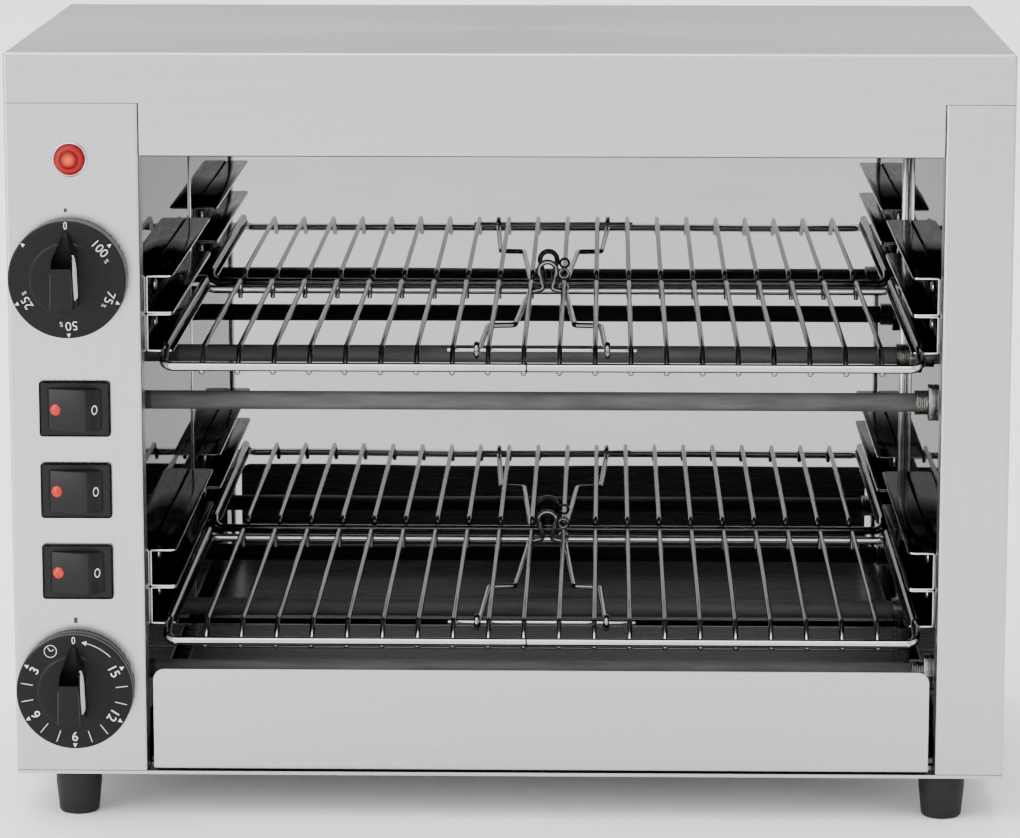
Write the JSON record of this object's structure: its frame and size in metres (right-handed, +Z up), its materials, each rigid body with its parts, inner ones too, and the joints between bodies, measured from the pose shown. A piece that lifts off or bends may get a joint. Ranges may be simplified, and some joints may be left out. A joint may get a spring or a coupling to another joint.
{
  "type": "clamp toaster",
  "caption": "Commercial toaster oven in folded stainless sheet, with wire racks on channel guides, tube elements, a crumb tray, rotary controls and lit rocker switches.",
  "frame": {"origin": "on the standing surface under the middle of the whole object's box", "axes": "+X to the right as seen from the front, +Y to the back, +Z up"},
  "size_m": [0.44, 0.286, 0.343],
  "materials": {
    "satin_steel": "satin stainless sheet",
    "polished_steel": "mirror-polished stainless sheet",
    "guide_steel": "bright stainless sheet",
    "element_sheath": "dull annealed tube",
    "plated_brass": "plated, slightly dull",
    "rack_wire": "bright chrome wire",
    "knob_plastic": "black, fine grain",
    "shaft_metal": "machined",
    "control_body": "moulded",
    "switch_plastic": "black, half gloss",
    "red_lens": "clear red",
    "bright_ring": "plated",
    "foot_rubber": "matt black",
    "fastener": "plated steel",
    "gland_plastic": "matt black"
  },
  "bodies": {
    "cabinet": {"top_cover": "satin_steel", "left_side_panel": "satin_steel", "right_side_panel": "satin_steel", "base_pan": "satin_steel", "back_panel": "polished_steel", "inner_wall_left": "polished_steel", "inner_wall_right": "polished_steel", "cavity_ceiling": "polished_steel", "lower_guide_left_bottom": "guide_steel", "lower_guide_left_top": "guide_steel", "lower_guide_right_bottom": "guide_steel", "lower_guide_right_top": "guide_steel", "upper_guide_left_bottom": "guide_steel", "upper_guide_left_top": "guide_steel", "upper_guide_right_bottom": "guide_steel", "upper_guide_right_top": "guide_steel", "bottom_front_element": "element_sheath", "bottom_rear_element": "element_sheath", "middle_front_element": "element_sheath", "middle_rear_element": "element_sheath", "top_front_element": "element_sheath", "top_rear_element": "element_sheath", "element_bushes": "plated_brass", "element_nuts": "plated_brass", "power_regulator": "control_body", "timer_body": "control_body", "pilot_body": "control_body", "terminal_block": "control_body", "switch_1_housing": "switch_plastic", "switch_2_housing": "switch_plastic", "switch_3_housing": "switch_plastic", "pilot_lens": "red_lens", "pilot_bezel": "bright_ring", "feet": "foot_rubber", "guide_rivets": "fastener", "foot_screws": "fastener", "case_screws": "fastener", "cable_gland": "gland_plastic"},
    "upper_rack": {"upper_rack_frame": "rack_wire", "upper_rack_grid": "rack_wire", "upper_rack_pivot_rod": "rack_wire"},
    "lower_rack": {"lower_rack_frame": "rack_wire", "lower_rack_grid": "rack_wire", "lower_rack_pivot_rod": "rack_wire"},
    "upper_handle": {"upper_rack_handle": "rack_wire"},
    "lower_handle": {"lower_rack_handle": "rack_wire"},
    "tray": {"crumb_tray": "satin_steel"},
    "power_control": {"power_knob": "knob_plastic", "power_shaft": "shaft_metal"},
    "timer_control": {"timer_knob": "knob_plastic", "timer_shaft": "shaft_metal"},
    "rocker_1": {"switch_1_rocker": "switch_plastic", "switch_1_lens": "red_lens"},
    "rocker_2": {"switch_2_rocker": "switch_plastic", "switch_2_lens": "red_lens"},
    "rocker_3": {"switch_3_rocker": "switch_plastic", "switch_3_lens": "red_lens"}
  },
  "joints": [
    {"name": "upper_rack_lift", "type": "slide", "parent": "cabinet", "child": "upper_rack", "axis": [0, 0, 1], "range_m": [0, 0.01]},
    {"name": "upper_handle_hinge", "type": "hinge", "parent": "upper_rack", "child": "upper_handle", "pos_m": [0.0141, -0.078, 0.20712], "axis": [1, 0, 0], "range_deg": [-6, 0]},
    {"name": "lower_rack_lift", "type": "slide", "parent": "cabinet", "child": "lower_rack", "axis": [0, 0, 1], "range_m": [0, 0.01]},
    {"name": "lower_handle_hinge", "type": "hinge", "parent": "lower_rack", "child": "lower_handle", "pos_m": [0.0141, -0.078, 0.08242], "axis": [1, 0, 0], "range_deg": [-6, 0]},
    {"name": "tray_slide", "type": "slide", "parent": "cabinet", "child": "tray", "axis": [0, -1, 0], "range_m": [0, 0.2]},
    {"name": "power_knob_turn", "type": "hinge", "parent": "cabinet", "child": "power_control", "pos_m": [-0.1925, -0.112, 0.2448], "axis": [0, 1, 0], "range_deg": [0, 309]},
    {"name": "timer_knob_turn", "type": "hinge", "parent": "cabinet", "child": "timer_control", "pos_m": [-0.1925, -0.112, 0.06], "axis": [0, 1, 0], "range_deg": [-40, 300]},
    {"name": "switch_1_tilt", "type": "hinge", "parent": "cabinet", "child": "rocker_1", "pos_m": [-0.191, -0.1108, 0.1861], "axis": [0, 0, 1], "range_deg": [-20, 0]},
    {"name": "switch_2_tilt", "type": "hinge", "parent": "cabinet", "child": "rocker_2", "pos_m": [-0.191, -0.1108, 0.14945], "axis": [0, 0, 1], "range_deg": [-20, 0]},
    {"name": "switch_3_tilt", "type": "hinge", "parent": "cabinet", "child": "rocker_3", "pos_m": [-0.191, -0.1108, 0.1128], "axis": [0, 0, 1], "range_deg": [-20, 0]}
  ]
}
